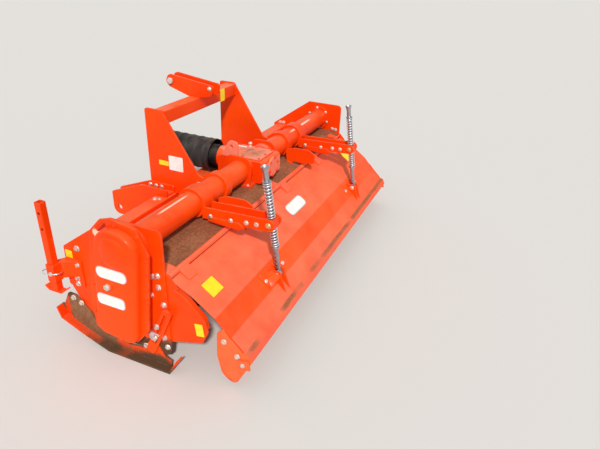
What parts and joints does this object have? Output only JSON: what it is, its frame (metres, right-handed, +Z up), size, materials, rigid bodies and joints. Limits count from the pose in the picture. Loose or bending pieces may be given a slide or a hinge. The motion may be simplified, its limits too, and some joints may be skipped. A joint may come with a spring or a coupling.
{
  "type": "rotary tiller",
  "caption": "Rotary tiller for a three-point linkage: side-driven rotor of L-shaped blades under a hood, with a hinged levelling board on spring rods.",
  "frame": {"origin": "on the floor, under the rotor axis, midway between the side plates", "axes": "+Z up, +Y forward towards the tractor, +X to the machine's right"},
  "size_m": [2.312, 1.184, 1.0191],
  "materials": {
    "orange_paint": "satin",
    "zinc": "satin",
    "black_plastic": "matte",
    "blade_steel": "worn",
    "bare_steel": "satin"
  },
  "bodies": {
    "frame": {"side_plate_left": "orange_paint", "side_plate_right": "orange_paint", "front_beam": "orange_paint", "hood_deck": "orange_paint", "front_apron": "orange_paint", "drive_tube": "orange_paint", "support_tube": "orange_paint", "gearbox_housing": "orange_paint", "gearbox_cover": "orange_paint", "input_guard": "black_plastic", "headstock_left": "orange_paint", "headstock_right": "orange_paint", "headstock_beam": "orange_paint", "lower_hitch_left": "orange_paint", "lower_hitch_right": "orange_paint", "top_link_bracket": "orange_paint", "drive_case_flange": "orange_paint", "drive_case": "orange_paint", "rotor_bearing_right": "orange_paint", "rotor_bearing_left": "orange_paint", "hood_hinge": "orange_paint", "spring_arm_left": "orange_paint", "spring_arm_right": "orange_paint", "skid_left": "orange_paint", "skid_right": "orange_paint", "skid_adjuster_left": "orange_paint", "skid_adjuster_right": "orange_paint", "side_shield_left": "orange_paint", "side_shield_right": "orange_paint", "stand_bracket": "orange_paint", "gearbox_cradle": "orange_paint", "hood_rib_left": "orange_paint", "hood_rib_right": "orange_paint"},
    "rotor": {"rotor": "blade_steel"},
    "input_shaft": {"input_shaft": "bare_steel"},
    "levelling_board": {"levelling_board": "orange_paint", "board_hinge": "orange_paint", "board_cheek_left": "orange_paint", "board_cheek_right": "orange_paint", "board_lug_left": "orange_paint", "board_lug_right": "orange_paint"},
    "parking_stand": {"parking_stand": "orange_paint"},
    "trunnion_left": {"trunnion_left": "zinc", "upper_spring_left": "zinc", "lower_spring_left": "zinc"},
    "rod_left": {"spring_rod_left": "zinc"},
    "trunnion_right": {"trunnion_right": "zinc", "upper_spring_right": "zinc", "lower_spring_right": "zinc"},
    "rod_right": {"spring_rod_right": "zinc"}
  },
  "joints": [
    {"name": "rotor_spin", "type": "hinge", "parent": "frame", "child": "rotor", "pos_m": [0, 0, 0.238], "axis": [-1, 0, 0], "continuous": true},
    {"name": "input_spin", "type": "hinge", "parent": "frame", "child": "input_shaft", "pos_m": [0, 0.2, 0.58], "axis": [0, 1, 0], "continuous": true},
    {"name": "board_swing", "type": "hinge", "parent": "frame", "child": "levelling_board", "pos_m": [0, -0.211, 0.47], "axis": [-1, 0, 0], "range_deg": [0, 8.5]},
    {"name": "stand_slide", "type": "slide", "parent": "frame", "child": "parking_stand", "axis": [0, 0, -1], "range_m": [0, 0.26]},
    {"name": "trunnion_left_swing", "type": "hinge", "parent": "frame", "child": "trunnion_left", "pos_m": [-0.575, -0.447, 0.56], "axis": [-1, 0, 0], "range_deg": [0, 7.4]},
    {"name": "rod_left_slide", "type": "slide", "parent": "trunnion_left", "child": "rod_left", "axis": [0, 0.1515, 0.9885], "range_m": [0, 0.0375], "deforming": ["lower_spring_left"]},
    {"name": "trunnion_right_swing", "type": "hinge", "parent": "frame", "child": "trunnion_right", "pos_m": [0.575, -0.447, 0.56], "axis": [-1, 0, 0], "range_deg": [0, 7.4]},
    {"name": "rod_right_slide", "type": "slide", "parent": "trunnion_right", "child": "rod_right", "axis": [0, 0.1515, 0.9885], "range_m": [0, 0.0375], "deforming": ["lower_spring_right"]}
  ],
  "couplings": [
    {"joint": "input_spin", "follows": "rotor_spin", "ratio": 2.45},
    {"joint": "trunnion_left_swing", "follows": "board_swing", "ratio": 0.84699},
    {"joint": "rod_left_slide", "follows": "board_swing", "m_per_rad": 0.24955},
    {"joint": "trunnion_right_swing", "follows": "board_swing", "ratio": 0.84699},
    {"joint": "rod_right_slide", "follows": "board_swing", "m_per_rad": 0.24955}
  ]
}
